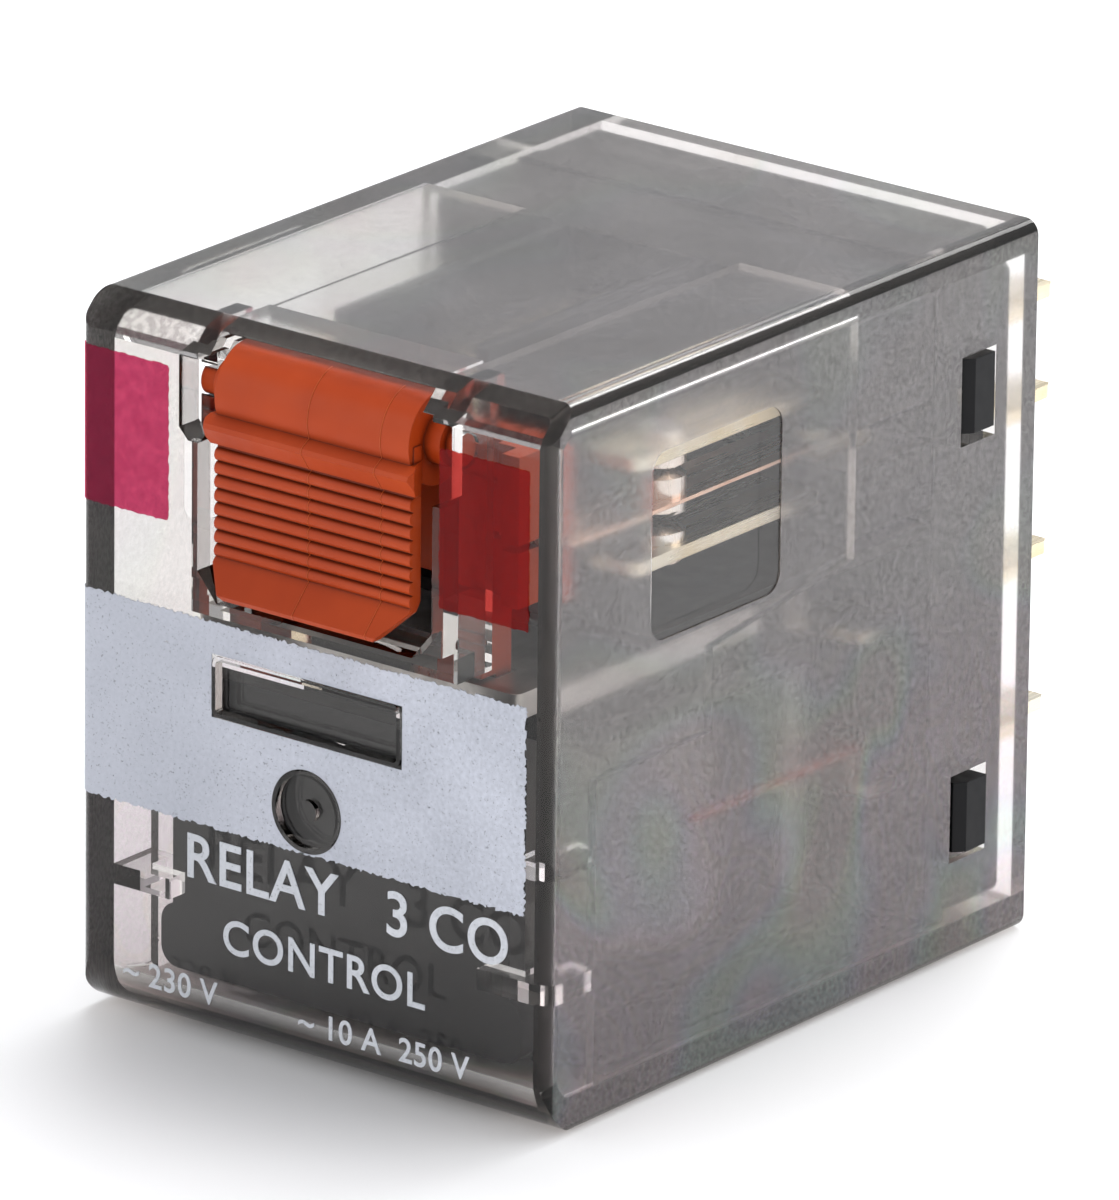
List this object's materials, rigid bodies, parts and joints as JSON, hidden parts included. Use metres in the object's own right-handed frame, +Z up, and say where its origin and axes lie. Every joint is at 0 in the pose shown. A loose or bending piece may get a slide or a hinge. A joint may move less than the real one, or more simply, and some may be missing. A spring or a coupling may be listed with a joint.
{
  "type": "plug-in control relay",
  "caption": "Plug-in control relay in a smoked clear cover, with changeover contacts, an upright coil, a black base with flat blades and an orange test lever.",
  "frame": {"origin": "centre of the base's seat face, the plane that rests on the socket", "axes": "+Y out along the plug blades, +Z up as mounted with the lever at the top, front towards -Y, X across the poles"},
  "size_m": [0.0226, 0.0355, 0.028],
  "materials": {
    "smoked_clear": "smoke tinted clear moulding, frosted top and sides, polished front",
    "black_plastic": "moulded, fine matt",
    "orange_plastic": "moulded, satin",
    "copper_wire": "enamelled wire",
    "copper": "bare",
    "tape": "polyester tape, smooth",
    "soft_iron": "zinc plated",
    "plated_steel": "nickel plated",
    "spring_steel": "stainless spring strip",
    "plated_brass": "thin nickel and tin plating",
    "spring_bronze": "bare bronze strip",
    "contact_silver": "silver alloy, satin",
    "lead_enamel": "enamelled lead"
  },
  "bodies": {
    "root": {"cover": "smoked_clear", "base": "black_plastic", "bobbin": "black_plastic", "winding": "copper_wire", "coil_tape": "tape", "core": "soft_iron", "shading_ring": "copper", "yoke": "plated_steel", "armature_spring": "spring_steel", "nc_rivets": "contact_silver", "no_rivets": "contact_silver", "spring_rivets": "contact_silver", "coil_terminal_1": "plated_brass", "coil_terminal_2": "plated_brass", "coil_lead_1": "lead_enamel", "coil_lead_2": "lead_enamel", "nc_terminal_1": "plated_brass", "no_terminal_1": "plated_brass", "com_terminal_1": "plated_brass", "nc_terminal_2": "plated_brass", "no_terminal_2": "plated_brass", "com_terminal_2": "plated_brass", "nc_terminal_3": "plated_brass", "no_terminal_3": "plated_brass", "com_terminal_3": "plated_brass"},
    "armature": {"armature": "plated_steel"},
    "actuator": {"actuator_card": "orange_plastic"},
    "test_lever": {"test_lever": "orange_plastic"},
    "pole_1": {"contact_spring_1": "spring_bronze", "moving_rivet_1": "contact_silver"},
    "pole_2": {"contact_spring_2": "spring_bronze", "moving_rivet_2": "contact_silver"},
    "pole_3": {"contact_spring_3": "spring_bronze", "moving_rivet_3": "contact_silver"}
  },
  "joints": [
    {"name": "armature_tilt", "type": "hinge", "parent": "root", "child": "armature", "pos_m": [0, -0.0097, 0.00085], "axis": [1, 0, 0], "range_deg": [0, 2.6], "stiffness_Nm_per_rad": 0.15, "springref_deg": -1.72, "deforming": ["armature_spring"]},
    {"name": "card_slide", "type": "slide", "parent": "root", "child": "actuator", "axis": [0, 0, -1], "range_m": [0, 0.0007]},
    {"name": "lever_turn", "type": "hinge", "parent": "root", "child": "test_lever", "pos_m": [0, -0.0274, 0.0113], "axis": [-1, 0, 0], "range_deg": [-6, 90]},
    {"name": "leaf_1_bend", "type": "hinge", "parent": "root", "child": "pole_1", "pos_m": [-0.0066, -0.01032, 0.0072], "axis": [1, 0, 0], "range_deg": [0, 2.73]},
    {"name": "leaf_2_bend", "type": "hinge", "parent": "root", "child": "pole_2", "pos_m": [0, -0.01032, 0.0072], "axis": [1, 0, 0], "range_deg": [0, 2.73]},
    {"name": "leaf_3_bend", "type": "hinge", "parent": "root", "child": "pole_3", "pos_m": [0.0066, -0.01032, 0.0072], "axis": [1, 0, 0], "range_deg": [0, 2.73]}
  ],
  "couplings": [
    {"joint": "card_slide", "follows": "armature_tilt", "m_per_rad": 0.014695},
    {"joint": "leaf_1_bend", "follows": "armature_tilt", "ratio": 1.0441},
    {"joint": "leaf_2_bend", "follows": "armature_tilt", "ratio": 1.0441},
    {"joint": "leaf_3_bend", "follows": "armature_tilt", "ratio": 1.0441}
  ]
}
